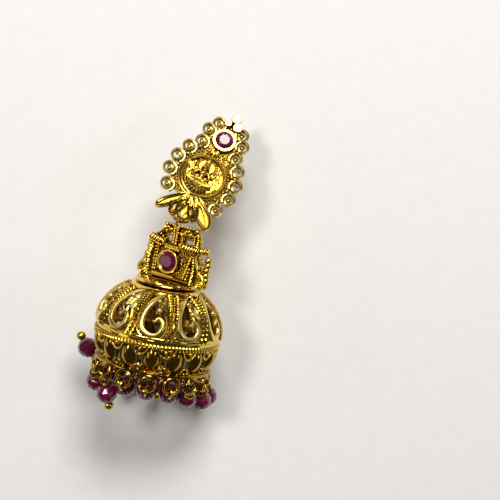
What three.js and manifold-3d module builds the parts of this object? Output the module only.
// A temple earring, lying on a table: an openwork bell with a fringe of ruby
// beads, a pierced middle piece above it, and a flower plate on a screw post.
// Millimetres. +Y runs along the bell's axis in plan, from the fringe towards
// the plate, +Z is up, and the table is z = 0.
import * as THREE from "three";
import { mergeVertices } from "three/addons/utils/BufferGeometryUtils.js";
import Module from "manifold-3d";

const wasm = await Module();
wasm.setup();

// How the pieces lie, in degrees
const BELL_LEAN = 7.5; // the bell's neck is raised by this
const PLAQUE_TURN = -30; // the middle piece is turned about the bell's axis
const PLATE_SLOPE = 20; // the flower plate dips towards its tip
const PLATE_SWING = -19; // and points to one side of the bell's axis
const LINK_SWING = -20; // the link leads to that side too
const LINK_DROP = 16; // and down, as the plate rests on its screw disc

// Clearances
const GAP = 0.3; // between separate pieces that face each other
const STONE_PLAY = 0.12; // round a stone in its bezel
const PIN_PLAY = 0.13; // round a pin in a bead
const TABLE_PLAY = 0.55; // under the lowest fringe loop, room for a pin's wire

const SOLDER = 0.25; // how deep soldered pieces run into each other

// Bell: dome, rope ring, skirt, flange and fringe loops
const BELL_RADIUS = 12.1;
const ROPE_WIRE = 1.1;
const WIRE_RING_HEIGHT = 1.4; // of the plain ring, above the rope
const WIRE_RING = 0.8;
const DOME_RISE = 9.6; // half axis of the dome's elliptic section
const NECK_RADIUS = BELL_RADIUS - 5.1;
const NECK_BAND = 1.2;
const NECK_TOP_RADIUS = NECK_RADIUS - 0.7;
const SHEET = 0.6; // thickness of the bell's scrolls and plates
const PANELS = 10;
const PANEL_PHASE = -2.8; // degrees, middle of the first panel
const SCROLL_WIDTH = 0.8;
const WIRE_WIDTH = 0.5;
const SKIRT_HEIGHT = 5.6;
const SKIRT_FOOT_RADIUS = BELL_RADIUS - 1.4; // the skirt draws in to its flange
const FLANGE_WIDTH = 1.1;
const FLANGE_THICKNESS = 0.6;
const LOOPS = 15;
const LOOP_PHASE = 1.9; // degrees, first loop
const LOOP_OUTER = 1.8;
const LOOP_INNER = 1.2;
const LOOP_DEPTH = 0.9;

// Pendants: a pin with a wound eye and a ball end, through a ruby bead
const EYE_INNER = 0.68;
const EYE_WIRE = 0.42;
const SHANK = 0.6;
const WRAP = 1.0;
const WRAP_LENGTH = 0.6;
const BEAD_RADIUS = 2.1;
const BEAD_LENGTH = 3.4;
const PIN_BALL = 1.05; // radius of the ball end

// Middle piece, pierced, on its base disc
const BASE_RADIUS = NECK_TOP_RADIUS - 0.3;
const BASE_THICKNESS = 0.8;
const RIVET_RADIUS = 0.8;
const PLAQUE_HEIGHT = 11.2;
const PLAQUE_FOOT = 6.6; // half width of the frame at the base
const PLAQUE_TOP = 2.7; // half width at the top
const PLAQUE_SHEET = 0.9;
const PLAQUE_STONE_RADIUS = 1.9;
const EYELET_MIDDLE = 0.85; // ring radius of the small suspension eyelets
const EYELET_WIRE = 0.5;

// Link between the middle piece and the plate
const LINK_WIRE = 0.6;
const LINK_MIDDLE = 2.5;

// Flower plate with its screw post
const PLATE_LENGTH = 24.9;
const PLATE_HALF = 8.1;
const PLATE_TIP = 0.54; // share of PLATE_LENGTH, from the figure's middle
const PLATE_SHEET = 0.7;
const SCROLL_RADIUS = 1.6;
const SCROLL_RIBBON = 0.45;
const SCROLL_HEIGHT = 1.2;
const SCROLL_STEPS = 7;
const PLATE_STONE_RADIUS = 1.75;
const PLATE_STONE_PLACE = 8.7;
const FIGURE_FRAME = 4.2; // radius of the ring round the relief figure
const FRAME_WIRE = 0.6;
const RELIEF = 0.68; // how far the figure stands out of the sheet
const PETAL_LENGTH = 5.2;
const PETAL_WIDTH = 2.3;
const PETAL_ROOT = -5.2;
const TIP_DISC = 1.05;
const POST_RADIUS = 0.5;
const POST_PLACE = 3.0;
const LOBE_GAP = 11.2; // between the plate's back and the screw disc
const DISC_RADIUS = 4.0;
const DISC_THICKNESS = 1.3;
const DISC_KNURLS = 18;
const SEAT_RADIUS = 1.6; // flat pad at the post's root
const SEAT_THICKNESS = 0.5;

// Stone cut, as shares of the stone's radius
const STONE_TABLE = 0.62;
const STONE_CROWN = 0.36;
const STONE_GIRDLE = 0.14;
const BEZEL_WALL = 0.55;
const BEZEL_FLOOR = 0.4;

// One dome panel's big scroll: side in shares of the panel's half width,
// rise in shares of the dome's length, wide in shares of SCROLL_WIDTH
const DOME_SCROLL = [
  { side: 0.6, rise: 1.0, wide: 0.7 },
  { side: -0.1, rise: 0.86, wide: 0.85 },
  { side: -0.56, rise: 0.62, wide: 1.0 },
  { side: -0.66, rise: 0.36, wide: 1.0 },
  { side: -0.3, rise: 0.11, wide: 1.0 },
  { side: 0.3, rise: 0.09, wide: 1.0 },
  { side: 0.56, rise: 0.3, wide: 0.8 },
  { side: 0.2, rise: 0.42, wide: 0.6 },
];

// The rib at a panel's edge
const DOME_RIB = [
  { side: 0.9, rise: 0.0, wide: 1.4 },
  { side: 1.1, rise: 0.55, wide: 1.4 },
  { side: 1.0, rise: 1.0, wide: 1.6 },
];

// A skirt leaf's outline: turn in degrees from its tip, reach in shares of
// its half height
const LEAF_OUTLINE = [
  { turn: 0, reach: 1.0 },
  { turn: 62, reach: 0.8 },
  { turn: 118, reach: 0.84 },
  { turn: 180, reach: 1.0 },
  { turn: 242, reach: 0.84 },
  { turn: 298, reach: 0.8 },
];

// Swag between two leaves: side in shares of half the loops' spacing, rise
// in shares of the skirt's length
const SKIRT_SWAG = [
  { side: -0.62, rise: 0.86, wide: 1.2 },
  { side: 0.0, rise: 0.58, wide: 1.4 },
  { side: 0.62, rise: 0.86, wide: 1.2 },
];

// Frame of the middle piece. Lines in shares: side of the half width at that
// height, rise of PLAQUE_HEIGHT, wide in millimetres
const PLAQUE_LINES = [
  // outer scroll brackets, with a curl at the foot
  [
    { side: 1.16, rise: 0.1, wide: 0.8 },
    { side: 1.3, rise: 0.02, wide: 0.8 },
    { side: 1.5, rise: 0.12, wide: 0.9 },
    { side: 1.2, rise: 0.3, wide: 1.2 },
    { side: 0.95, rise: 0.55, wide: 1.3 },
    { side: 1.05, rise: 0.78, wide: 1.0 },
    { side: 0.9, rise: 0.97, wide: 0.9 },
  ],
  // inner column beside the stone
  [
    { side: 0.74, rise: 0.0, wide: 1.1 },
    { side: 0.78, rise: 0.62, wide: 1.1 },
  ],
  // eave bar
  [
    { side: 0.3, rise: 0.64, wide: 1.0 },
    { side: 1.02, rise: 0.62, wide: 1.3 },
  ],
  // lattice to the top
  [
    { side: 0.0, rise: 0.62, wide: 0.9 },
    { side: 0.75, rise: 0.98, wide: 0.8 },
  ],
];
// Bars right across its foot and its top
const PLAQUE_BARS = [
  { rise: 0.04, wide: 1.4 },
  { rise: 0.97, wide: 1.2 },
];
const PLAQUE_STONE_RISE = 0.335; // share of PLAQUE_HEIGHT

// Flower plate: each row is a pair of scrolls, one each side of the axis,
// along in shares of PLATE_LENGTH and out in shares of PLATE_HALF
const PLATE_SCROLLS = [
  { along: -0.205, out: 0.68 },
  { along: -0.076, out: 0.827 },
  { along: 0.052, out: 0.815 },
  { along: 0.169, out: 0.68 },
  { along: 0.261, out: 0.475 },
  { along: 0.38, out: 0.47 },
  { along: 0.466, out: 0.32 },
];

// The fan of petals: turn in degrees, long and wide in shares of PETAL_LENGTH
// and PETAL_WIDTH
const PETALS = [
  { turn: -41, long: 1.25, wide: 0.75 },
  { turn: -19, long: 1.0, wide: 0.9 },
  { turn: 4, long: 0.95, wide: 1.5 },
  { turn: 26, long: 0.92, wide: 0.9 },
  { turn: 47, long: 1.25, wide: 1.2 },
];

// A petal's ribbon, from its root round its tip and back: side in shares of
// its half width, reach in shares of its length
const PETAL_OUTLINE = [
  { side: -0.3, reach: 0.0 },
  { side: -0.75, reach: 0.33 },
  { side: -1.0, reach: 0.62 },
  { side: -0.7, reach: 0.86 },
  { side: 0.0, reach: 0.97 },
  { side: 0.7, reach: 0.86 },
  { side: 1.0, reach: 0.62 },
  { side: 0.75, reach: 0.33 },
  { side: 0.3, reach: 0.0 },
];

// Relief figure seated on a lotus, in shares of FIGURE_FRAME
const FIGURE = [
  { across: 0.0, along: 0.5, wide: 0.2, tall: 0.24 },
  { across: 0.0, along: 0.78, wide: 0.14, tall: 0.22 },
  { across: 0.0, along: 0.05, wide: 0.42, tall: 0.42 },
  { across: 0.3, along: -0.36, wide: 0.38, tall: 0.18 },
  { across: -0.3, along: -0.36, wide: 0.38, tall: 0.18 },
  { across: 0.0, along: -0.64, wide: 0.72, tall: 0.22 },
];

// Pendants, one for each fringe loop from the table's left side over the top
// to its right side. slide turns the eye round the fringe loop, heading is
// the plan direction from -Y towards +X, drop is downwards
const PENDANTS = [
  { loop: -7, slide: 0, heading: -16, drop: -8 },
  { loop: -6, slide: 0, heading: -16, drop: 28 },
  { loop: -5, slide: 0, heading: -8, drop: 44 },
  { loop: -4, slide: -84, heading: -138, drop: 15 },
  { loop: -3, slide: 0, heading: 3, drop: 62 },
  { loop: -2, slide: 0, heading: 16, drop: 26 },
  { loop: -1, slide: 0, heading: 0, drop: 84 },
  { loop: 0, slide: 0, heading: 0, drop: 86 },
  { loop: 1, slide: 0, heading: 0, drop: 84 },
  { loop: 2, slide: 0, heading: 0, drop: 72 },
  { loop: 3, slide: 0, heading: 10, drop: 58 },
  { loop: 4, slide: 0, heading: 14, drop: 54 },
  { loop: 5, slide: 0, heading: 10, drop: 48 },
  { loop: 6, slide: 0, heading: 8, drop: 18 },
  { loop: 7, slide: 0, heading: -4, drop: -14 },
];

const GOLD = { color: 0xd4a534, roughness: 0.28, metalness: 1 };
const RUBY = { color: 0x7a1040, roughness: 0.12, metalness: 0 };

// Follow-on sizes
const DOME_TOP = Math.acos(NECK_RADIUS / BELL_RADIUS);
const DOME_FOOT = WIRE_RING_HEIGHT;
const NECK_FOOT = DOME_FOOT + DOME_RISE * Math.sin(DOME_TOP) - SHEET / 2;
const NECK_TOP = NECK_FOOT + NECK_BAND;
const BASE_FOOT = NECK_TOP + GAP;
const RIVET_TOP = NECK_TOP - SHEET - GAP; // of the rivet's head, inside the neck
const PLAQUE_START = BASE_FOOT + BASE_THICKNESS;
const EYELET_PLACE = PLAQUE_START + PLAQUE_HEIGHT + EYELET_MIDDLE;
const LOOP_HEIGHT = SOLDER - SKIRT_HEIGHT - FLANGE_THICKNESS / 2 - LOOP_OUTER;
const LOOP_RADIUS = SKIRT_FOOT_RADIUS + (FLANGE_WIDTH + SHEET / 2) / 2;
const EYELET_DROP = EYELET_MIDDLE - EYELET_WIRE / 4; // below the plate's back
const LOOP_MIDDLE = (LOOP_OUTER + LOOP_INNER) / 2;
const EYE_MIDDLE = EYE_INNER + EYE_WIRE / 2;
const lean = THREE.MathUtils.degToRad(BELL_LEAN);
const AXIS_HEIGHT =
  TABLE_PLAY +
  (LOOP_OUTER - LOOP_HEIGHT) * Math.sin(lean) +
  (LOOP_RADIUS + LOOP_DEPTH / 2) * Math.cos(lean);

// A closed geometry as a solid, and back
function solidOf(geometry) {
  const plain = geometry.clone();
  plain.deleteAttribute("normal");
  plain.deleteAttribute("uv");
  const merged = mergeVertices(plain, 1e-4);
  return new wasm.Manifold(
    new wasm.Mesh({
      numProp: 3,
      vertProperties: merged.attributes.position.array,
      triVerts: new Uint32Array(merged.index.array),
    }),
  );
}

function geometryOf(solid) {
  const mesh = solid.getMesh();
  const geometry = new THREE.BufferGeometry();
  geometry.setAttribute("position", new THREE.BufferAttribute(mesh.vertProperties, 3));
  geometry.setIndex(new THREE.BufferAttribute(mesh.triVerts, 1));
  geometry.computeVertexNormals();
  return geometry;
}

// Soldered pieces become one solid
function soldered(pieces) {
  return geometryOf(pieces.map(solidOf).reduce((whole, next) => whole.add(next)));
}

// A turned ring or disc about Y; the outline runs anticlockwise
function turned(outline, sides) {
  return new THREE.LatheGeometry(
    outline.map(([radius, height]) => new THREE.Vector2(radius, height)),
    sides,
  );
}

// A turned ring of rectangular section about Y
function bandRing(inner, outer, low, high, sides) {
  return turned(
    [
      [inner, low],
      [outer, low],
      [outer, high],
      [inner, high],
      [inner, low],
    ],
    sides,
  );
}

// A smooth line through the rows of a table, each point {x, y, half}
function smoothLine(rows, steps) {
  const points = rows.map(({ x, y, half }) => new THREE.Vector3(x, y, half));
  if (rows.length === 2) return rows;
  return new THREE.CatmullRomCurve3(points)
    .getPoints(steps)
    .map((point) => ({ x: point.x, y: point.y, half: point.z }));
}

// A flat ribbon along a line, from z = 0 to z = thick
function ribbon(line, thick) {
  const left = [];
  const right = [];
  line.forEach(({ x, y, half }, i) => {
    const before = line[Math.max(i - 1, 0)];
    const after = line[Math.min(i + 1, line.length - 1)];
    const side = new THREE.Vector2(after.y - before.y, before.x - after.x);
    side.setLength(half);
    left.push(new THREE.Vector2(x - side.x, y - side.y));
    right.unshift(new THREE.Vector2(x + side.x, y + side.y));
  });
  const outline = new THREE.Shape([...left, ...right]);
  return new THREE.ExtrudeGeometry(outline, { depth: thick, bevelEnabled: false });
}

// Bend a flat layout onto a curved wall
function bent(geometry, wall) {
  const place = geometry.getAttribute("position");
  for (let i = 0; i < place.count; i++) {
    const point = wall(place.getX(i), place.getY(i), place.getZ(i));
    place.setXYZ(i, point.x, point.y, point.z);
  }
  return geometry;
}

// Dome wall: across and up in millimetres on the wall, out along its normal
const DOME_LENGTH = DOME_TOP * Math.sqrt((BELL_RADIUS ** 2 + DOME_RISE ** 2) / 2);

function domeWall(turn) {
  return (across, up, out) => {
    const angle = (up / DOME_LENGTH) * DOME_TOP;
    const radius = BELL_RADIUS * Math.cos(angle);
    const normal = new THREE.Vector2(
      Math.cos(angle) / BELL_RADIUS,
      Math.sin(angle) / DOME_RISE,
    ).normalize();
    const phi = turn + across / radius;
    const reach = radius + normal.x * out;
    const height = DOME_FOOT + DOME_RISE * Math.sin(angle) + normal.y * out;
    return new THREE.Vector3(reach * Math.sin(phi), height, reach * Math.cos(phi));
  };
}

// Skirt wall: up from the flange to the rope
function skirtWall(turn) {
  return (across, up, out) => {
    const share = up / SKIRT_HEIGHT;
    const radius = THREE.MathUtils.lerp(SKIRT_FOOT_RADIUS, BELL_RADIUS, share) + out;
    const phi = turn + across / radius;
    return new THREE.Vector3(
      radius * Math.sin(phi),
      up - SKIRT_HEIGHT,
      radius * Math.cos(phi),
    );
  };
}

// A table of shares on one dome panel, as a line in millimetres
function panelLine(rows, width) {
  return rows.map(({ side, rise, wide }) => {
    const radius = BELL_RADIUS * Math.cos(rise * DOME_TOP);
    return {
      x: (side * Math.PI * radius) / PANELS,
      y: rise * DOME_LENGTH,
      half: (wide * width) / 2,
    };
  });
}

function domePanel(turn) {
  const wall = domeWall(turn);
  return [
    bent(ribbon(smoothLine(panelLine(DOME_SCROLL, SCROLL_WIDTH), 8), SHEET), wall),
    bent(ribbon(panelLine(DOME_RIB, WIRE_WIDTH), SHEET), wall),
  ];
}

// A domed leaf of the skirt: a low turned cushion drawn out to its outline
function leaf(turn) {
  const half = SKIRT_HEIGHT / 2;
  const sides = LEAF_OUTLINE.length;
  const cushion = turned(
    [
      [0, -SHEET / 2],
      [1, -SHEET / 2],
      [0.9, SHEET / 2],
      [0, SHEET],
    ],
    sides,
  );
  const shaped = bent(cushion, (x, y, z) => {
    const around = Math.round((Math.atan2(x, z) / (2 * Math.PI)) * sides + sides) % sides;
    const row = LEAF_OUTLINE[around];
    const reach = Math.hypot(x, z) * row.reach * half;
    const angle = THREE.MathUtils.degToRad(row.turn);
    return new THREE.Vector3(-reach * Math.sin(angle), reach * Math.cos(angle), y);
  });
  return bent(shaped.translate(0, half, 0), skirtWall(turn));
}

function skirtUnit(turn) {
  const spacing = (Math.PI * BELL_RADIUS) / LOOPS;
  const swag = SKIRT_SWAG.map(({ side, rise, wide }) => ({
    x: side * spacing,
    y: rise * SKIRT_HEIGHT,
    half: (wide * WIRE_WIDTH) / 2,
  }));
  return [
    leaf(turn),
    bent(ribbon(swag, SHEET), skirtWall(turn + Math.PI / LOOPS)),
  ];
}

function loopTurn(index) {
  return THREE.MathUtils.degToRad(LOOP_PHASE) + (index * 2 * Math.PI) / LOOPS;
}

function fringeLoop(index) {
  return bandRing(LOOP_INNER, LOOP_OUTER, -LOOP_DEPTH / 2, LOOP_DEPTH / 2, 10)
    .rotateX(Math.PI / 2)
    .translate(0, LOOP_HEIGHT, LOOP_RADIUS)
    .rotateY(loopTurn(index));
}

function bellGeometry() {
  const rope = new THREE.TorusGeometry(BELL_RADIUS, ROPE_WIRE / 2, 5, 2 * LOOPS);
  const pieces = [
    rope.rotateX(Math.PI / 2),
    bandRing(
      BELL_RADIUS - SHEET / 2,
      BELL_RADIUS + SHEET,
      ROPE_WIRE / 4,
      WIRE_RING_HEIGHT + WIRE_RING / 2,
      2 * LOOPS,
    ),
    bandRing(
      SKIRT_FOOT_RADIUS - SHEET / 2,
      SKIRT_FOOT_RADIUS + FLANGE_WIDTH,
      -SKIRT_HEIGHT - FLANGE_THICKNESS / 2,
      -SKIRT_HEIGHT + FLANGE_THICKNESS / 2,
      2 * LOOPS,
    ),
    // neck collar with the rivet's hole in its top
    turned(
      [
        [RIVET_RADIUS + GAP / 2, NECK_TOP - SHEET],
        [NECK_TOP_RADIUS - SHEET, NECK_TOP - SHEET],
        [NECK_RADIUS - SHEET, NECK_FOOT - SHEET],
        [NECK_RADIUS + SHEET, NECK_FOOT - SHEET / 2],
        [NECK_RADIUS + SHEET / 2, NECK_FOOT + SHEET],
        [NECK_TOP_RADIUS, NECK_TOP],
        [RIVET_RADIUS + GAP / 2, NECK_TOP],
        [RIVET_RADIUS + GAP / 2, NECK_TOP - SHEET],
      ],
      2 * PANELS,
    ),
  ];
  for (let panel = 0; panel < PANELS; panel++) {
    const middle = THREE.MathUtils.degToRad(PANEL_PHASE);
    pieces.push(...domePanel(middle + (panel * 2 * Math.PI) / PANELS));
  }
  for (let index = 0; index < LOOPS; index++) {
    pieces.push(...skirtUnit(loopTurn(index)), fringeLoop(index));
  }
  return soldered(pieces);
}

// A faceted stone with its table up +Y, lying on y = 0
function stoneGeometry(radius) {
  return turned(
    [
      [0, 0],
      [0.6 * radius, 0],
      [radius, STONE_CROWN * radius],
      [radius, (STONE_CROWN + STONE_GIRDLE) * radius],
      [STONE_TABLE * radius, (2 * STONE_CROWN + STONE_GIRDLE) * radius],
      [0, (2 * STONE_CROWN + STONE_GIRDLE) * radius],
    ],
    8,
  );
}

// A bezel cup about Y that holds a stone of this radius; its floor is at 0
function bezel(radius) {
  const inside = radius + STONE_PLAY;
  const rim = BEZEL_FLOOR + (STONE_CROWN + STONE_GIRDLE) * radius + GAP;
  return turned(
    [
      [0, 0],
      [inside + BEZEL_WALL, 0],
      [inside + BEZEL_WALL, rim - BEZEL_WALL / 2],
      [inside + BEZEL_WALL / 2, rim],
      [inside, rim],
      [inside, BEZEL_FLOOR],
      [0, BEZEL_FLOOR],
    ],
    10,
  );
}

// Width of the middle piece's frame at a share of its height
function plaqueHalf(rise) {
  return THREE.MathUtils.lerp(PLAQUE_FOOT, PLAQUE_TOP, Math.min(rise, 1));
}

function plaqueGeometry() {
  const flat = (line) => ribbon(line, PLAQUE_SHEET).translate(0, 0, -PLAQUE_SHEET / 2);
  const pieces = [];
  for (const rows of PLAQUE_LINES) {
    for (const hand of [1, -1]) {
      const line = rows.map(({ side, rise, wide }) => ({
        x: hand * side * plaqueHalf(rise),
        y: rise * PLAQUE_HEIGHT,
        half: wide / 2,
      }));
      pieces.push(flat(smoothLine(line, 8)));
    }
  }
  const across = (rise, wide) =>
    [-1, 1].map((hand) => ({
      x: hand * plaqueHalf(rise),
      y: rise * PLAQUE_HEIGHT,
      half: wide / 2,
    }));
  for (const { rise, wide } of PLAQUE_BARS) pieces.push(flat(across(rise, wide)));
  pieces.push(
    bezel(PLAQUE_STONE_RADIUS)
      .rotateX(Math.PI / 2)
      .translate(0, PLAQUE_STONE_RISE * PLAQUE_HEIGHT, -PLAQUE_SHEET / 2),
  );
  // strut from the stone's cup up to the lattice
  pieces.push(
    flat([
      { x: 0, y: PLAQUE_STONE_RISE * PLAQUE_HEIGHT + PLAQUE_STONE_RADIUS, half: 0.6 },
      { x: 0, y: 0.66 * PLAQUE_HEIGHT, half: 0.6 },
    ]),
  );
  for (const piece of pieces) {
    piece.rotateY(THREE.MathUtils.degToRad(PLAQUE_TURN)).translate(0, PLAQUE_START, 0);
  }
  // base disc with the rivet that runs down through the neck
  pieces.push(
    turned(
      [
        [0, RIVET_TOP - SHEET],
        [2 * RIVET_RADIUS, RIVET_TOP - SHEET],
        [2 * RIVET_RADIUS, RIVET_TOP],
        [RIVET_RADIUS, RIVET_TOP],
        [RIVET_RADIUS, BASE_FOOT],
        [BASE_RADIUS, BASE_FOOT],
        [BASE_RADIUS + SHEET / 2, BASE_FOOT + BASE_THICKNESS / 2],
        [BASE_RADIUS, PLAQUE_START],
        [0, PLAQUE_START],
      ],
      24,
    ),
  );
  // eyelet at the top, its hole across the bell's axis
  pieces.push(
    new THREE.TorusGeometry(EYELET_MIDDLE, EYELET_WIRE / 2, 6, 10)
      .rotateY(Math.PI / 2)
      .translate(0, EYELET_PLACE, 0),
  );
  return soldered(pieces);
}

// A plate scroll: a ribbon that curls in from its own outer circle
function plateScroll(hand) {
  const line = [];
  for (let step = 0; step <= SCROLL_STEPS; step++) {
    const share = step / SCROLL_STEPS;
    const angle = Math.PI * (0.9 - 2.5 * share);
    const radius = (SCROLL_RADIUS - SCROLL_RIBBON / 2) * (1 - 0.55 * share ** 1.5);
    line.push({
      x: hand * radius * Math.cos(angle),
      y: radius * Math.sin(angle),
      half: SCROLL_RIBBON / 2,
    });
  }
  return ribbon(line, SCROLL_HEIGHT).translate(0, 0, -PLATE_SHEET / 2);
}

// A petal: a pointed loop of ribbon, open in the middle, root at 0, along -Y
function petal(long, wide) {
  const line = PETAL_OUTLINE.map(({ side, reach }) => ({
    x: (side * (wide * PETAL_WIDTH - SCROLL_RIBBON)) / 2,
    y: -reach * long * PETAL_LENGTH,
    half: SCROLL_RIBBON / 2,
  }));
  const thick = SCROLL_HEIGHT - PLATE_SHEET / 2;
  return ribbon(line, thick).translate(0, 0, -PLATE_SHEET / 2);
}

// Plate frame: x to the right, y towards the tip, z out of its front
function plateGeometry() {
  const back = -PLATE_SHEET / 2;
  const rows = PLATE_SCROLLS.map(({ along, out }) => ({
    y: along * PLATE_LENGTH,
    x: out * PLATE_HALF,
  }));
  const inset = 0.45 * SCROLL_RADIUS;
  const right = rows.map(({ x, y }) => new THREE.Vector2(x - inset, y));
  const left = rows.map(({ x, y }) => new THREE.Vector2(inset - x, y)).reverse();
  const tip = PLATE_TIP * PLATE_LENGTH;
  const body = new THREE.Shape([
    new THREE.Vector2(0, PETAL_ROOT - SCROLL_RIBBON),
    ...right,
    new THREE.Vector2(0, tip),
    ...left,
  ]);
  const pieces = [
    new THREE.ExtrudeGeometry(body, { depth: PLATE_SHEET, bevelEnabled: false }).translate(
      0,
      0,
      back,
    ),
    new THREE.TorusGeometry(FIGURE_FRAME, FRAME_WIRE / 2, 4, 14).translate(
      0,
      0,
      PLATE_SHEET / 2,
    ),
    bezel(PLATE_STONE_RADIUS).rotateX(Math.PI / 2).translate(0, PLATE_STONE_PLACE, 0),
  ];
  for (const { x, y } of rows) {
    pieces.push(plateScroll(1).translate(x, y, 0), plateScroll(-1).translate(-x, y, 0));
  }
  // three polished discs make the tip
  const disc = () =>
    turned(
      [
        [0, back],
        [TIP_DISC, back],
        [TIP_DISC, PLATE_SHEET],
        [TIP_DISC / 2, SCROLL_HEIGHT],
        [0, SCROLL_HEIGHT],
      ],
      10,
    ).rotateX(Math.PI / 2);
  pieces.push(disc().translate(0, tip + 0.7 * TIP_DISC, 0));
  for (const hand of [1, -1]) {
    pieces.push(disc().translate(hand * TIP_DISC, tip - 0.75 * TIP_DISC, 0));
  }
  for (const { turn, long, wide } of PETALS) {
    const fan = THREE.MathUtils.degToRad(turn);
    pieces.push(petal(long, wide).rotateZ(fan).translate(0, PETAL_ROOT, 0));
  }
  for (const { across, along, wide, tall } of FIGURE) {
    pieces.push(
      new THREE.SphereGeometry(1, 6, 4)
        .scale(wide * FIGURE_FRAME, tall * FIGURE_FRAME, RELIEF)
        .translate(across * FIGURE_FRAME, along * FIGURE_FRAME, PLATE_SHEET / 2),
    );
  }
  // half eyelet under the back, for the link
  pieces.push(
    new THREE.TorusGeometry(EYELET_MIDDLE, EYELET_WIRE / 2, 6, 10)
      .rotateY(Math.PI / 2)
      .translate(0, PETAL_ROOT, back - EYELET_DROP),
  );
  return soldered(pieces);
}

// Screw post and disc about Y, from the plate's back at y = 0 down to -Y.
// The real screw is one plain piece here
function postGeometry() {
  const lowest = -LOBE_GAP - DISC_THICKNESS;
  const knurled = bandRing(0.5 * DISC_RADIUS, DISC_RADIUS, lowest, -LOBE_GAP, DISC_KNURLS);
  const rim = bent(knurled, (x, y, z) => {
    const radius = Math.hypot(x, z);
    const step = Math.round((Math.atan2(x, z) / Math.PI / 2) * DISC_KNURLS);
    const share = radius > 0.9 * DISC_RADIUS && step % 2 !== 0 ? 0.95 : 1;
    return new THREE.Vector3(x * share, y, z * share);
  });
  const spindle = turned(
    [
      [0, lowest],
      [0.6 * DISC_RADIUS, lowest],
      [0.6 * DISC_RADIUS, -LOBE_GAP],
      [POST_RADIUS, -LOBE_GAP],
      [POST_RADIUS, -SEAT_THICKNESS],
      [SEAT_RADIUS, -SEAT_THICKNESS],
      [SEAT_RADIUS, 0],
      [0, 0],
    ],
    12,
  );
  return soldered([spindle, rim]);
}

// Pin along +Y: its eye lies round the origin in the XY plane
function pinGeometry(kink) {
  const bead = EYE_MIDDLE + WRAP_LENGTH + PIN_PLAY;
  const end = bead + BEAD_LENGTH + PIN_PLAY;
  const shank = turned(
    [
      [0, EYE_MIDDLE - SOLDER / 4],
      [WRAP / 2, EYE_MIDDLE],
      [WRAP / 2, bead - PIN_PLAY],
      [SHANK / 2, bead - PIN_PLAY],
      [SHANK / 2, end],
      [0.85 * PIN_BALL, end + 0.5 * PIN_BALL],
      [0.85 * PIN_BALL, end + 1.5 * PIN_BALL],
      [0, end + 2 * PIN_BALL],
    ],
    6,
  );
  shank.translate(0, -EYE_MIDDLE, 0).applyQuaternion(kink).translate(0, EYE_MIDDLE, 0);
  const eye = new THREE.TorusGeometry(EYE_MIDDLE, EYE_WIRE / 2, 5, 10);
  return soldered([eye, shank]);
}

// Drilled ruby bead about Y, faceted, its middle at the origin
function beadGeometry() {
  const hole = SHANK / 2 + PIN_PLAY;
  const half = BEAD_LENGTH / 2;
  return turned(
    [
      [hole, -half],
      [0.6 * BEAD_RADIUS, -half],
      [BEAD_RADIUS, 0],
      [0.6 * BEAD_RADIUS, half],
      [hole, half],
      [hole, -half],
    ],
    10,
  );
}

function piece(name, geometry, look) {
  const mesh = new THREE.Mesh(geometry, new THREE.MeshStandardMaterial(look));
  mesh.name = name;
  return mesh;
}

const earring = new THREE.Group();

// Bell and middle piece share the bell's leaning frame
const drop = new THREE.Group();
drop.position.z = AXIS_HEIGHT;
drop.rotation.x = lean;
drop.add(piece("bell", bellGeometry(), GOLD));
drop.add(piece("plaque", plaqueGeometry(), GOLD));
const plaqueStone = piece("plaque_stone", stoneGeometry(PLAQUE_STONE_RADIUS), RUBY);
plaqueStone.rotation.x = Math.PI / 2;
const plaqueSeat = new THREE.Group();
plaqueSeat.rotation.y = THREE.MathUtils.degToRad(PLAQUE_TURN);
plaqueStone.position.set(
  0,
  PLAQUE_START + PLAQUE_STONE_RISE * PLAQUE_HEIGHT,
  BEZEL_FLOOR + STONE_PLAY - PLAQUE_SHEET / 2,
);
plaqueSeat.add(plaqueStone);
drop.add(plaqueSeat);
earring.add(drop);
earring.updateMatrixWorld(true);

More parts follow.
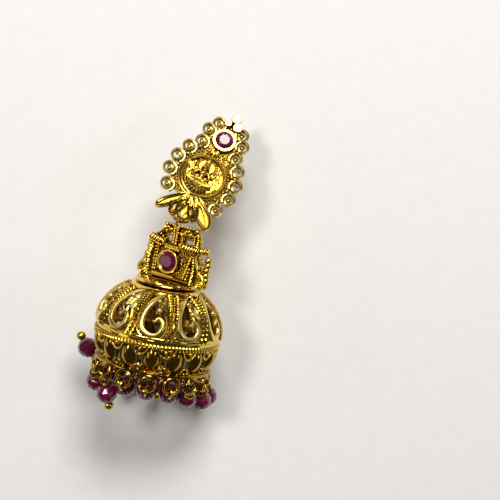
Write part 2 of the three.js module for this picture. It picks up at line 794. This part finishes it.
// Pendants hang from the fringe loops' lower bands
PENDANTS.forEach(({ loop, slide, heading, drop: fall }, index) => {
  const turn = loopTurn(loop);
  const around = new THREE.Vector3(Math.cos(turn), 0, -Math.sin(turn));
  const up = new THREE.Vector3(0, 1, 0);
  const angle = THREE.MathUtils.degToRad(slide);
  const centre = new THREE.Vector3(
    LOOP_RADIUS * Math.sin(turn),
    LOOP_HEIGHT,
    LOOP_RADIUS * Math.cos(turn),
  )
    .addScaledVector(around, LOOP_MIDDLE * Math.sin(angle))
    .addScaledVector(up, -LOOP_MIDDLE * Math.cos(angle));
  const band = new THREE.Vector3()
    .addScaledVector(around, Math.cos(angle))
    .addScaledVector(up, Math.sin(angle))
    .transformDirection(drop.matrixWorld);
  const way = new THREE.Vector3(0, -Math.cos(THREE.MathUtils.degToRad(fall)), 0)
    .applyAxisAngle(new THREE.Vector3(0, 0, 1), THREE.MathUtils.degToRad(heading))
    .setZ(-Math.sin(THREE.MathUtils.degToRad(fall)));
  // the eye's plane is square to the loop's band; the shank may be kinked
  const along = way.clone().addScaledVector(band, -way.dot(band)).normalize();
  const across = new THREE.Vector3().crossVectors(along, band);
  const pendant = new THREE.Group();
  pendant.matrixAutoUpdate = false;
  pendant.matrix
    .makeBasis(across, along, band)
    .setPosition(drop.localToWorld(centre));
  const local = new THREE.Vector3(way.dot(across), way.dot(along), way.dot(band));
  const kink = new THREE.Quaternion().setFromUnitVectors(up, local);
  const number = String(index + 1).padStart(2, "0");
  pendant.add(piece("pin_" + number, pinGeometry(kink), GOLD));
  const bead = piece("bead_" + number, beadGeometry(), RUBY);
  const reach = WRAP_LENGTH + PIN_PLAY + BEAD_LENGTH / 2;
  bead.quaternion.copy(kink);
  bead.position.copy(local).multiplyScalar(reach).add(new THREE.Vector3(0, EYE_MIDDLE, 0));
  pendant.add(bead);
  earring.add(pendant);
});

// The link passes through the middle piece's eyelet and the plate's
const eyeletAt = drop.localToWorld(new THREE.Vector3(0, EYELET_PLACE, 0));
const link = piece("link_ring", new THREE.TorusGeometry(LINK_MIDDLE, LINK_WIRE / 2, 6, 14), GOLD);
link.rotation.order = "ZXY";
link.rotation.z = THREE.MathUtils.degToRad(LINK_SWING);
link.rotation.x = THREE.MathUtils.degToRad(-LINK_DROP);
const reach = new THREE.Vector3(0, LINK_MIDDLE, 0).applyEuler(link.rotation);
link.position.copy(eyeletAt).add(reach);
earring.add(link);

// Plate, its stone and its screw post, hung from the link's far side
const swing = new THREE.Group();
swing.rotation.z = THREE.MathUtils.degToRad(PLATE_SWING);
swing.position.copy(link.position).add(reach);
const plateFrame = new THREE.Group();
plateFrame.rotation.x = THREE.MathUtils.degToRad(-PLATE_SLOPE);
swing.add(plateFrame);
const plateBody = new THREE.Group();
plateBody.position.set(0, -PETAL_ROOT, PLATE_SHEET / 2 + EYELET_DROP);
plateFrame.add(plateBody);
plateBody.add(piece("stud_plate", plateGeometry(), GOLD));
const plateStone = piece("plate_stone", stoneGeometry(PLATE_STONE_RADIUS), RUBY);
plateStone.rotation.x = Math.PI / 2;
plateStone.position.set(0, PLATE_STONE_PLACE, BEZEL_FLOOR + STONE_PLAY);
plateBody.add(plateStone);
const post = piece("screw_post", postGeometry(), GOLD);
post.rotation.x = Math.PI / 2;
post.position.set(0, POST_PLACE, -PLATE_SHEET / 2 - GAP);
plateBody.add(post);
earring.add(swing);

// Stand the whole on z = 0, centred
earring.updateMatrixWorld(true);
const box = new THREE.Box3().setFromObject(earring, true);
const middle = box.getCenter(new THREE.Vector3());
earring.position.set(-middle.x, -middle.y, -box.min.z);

export default earring;
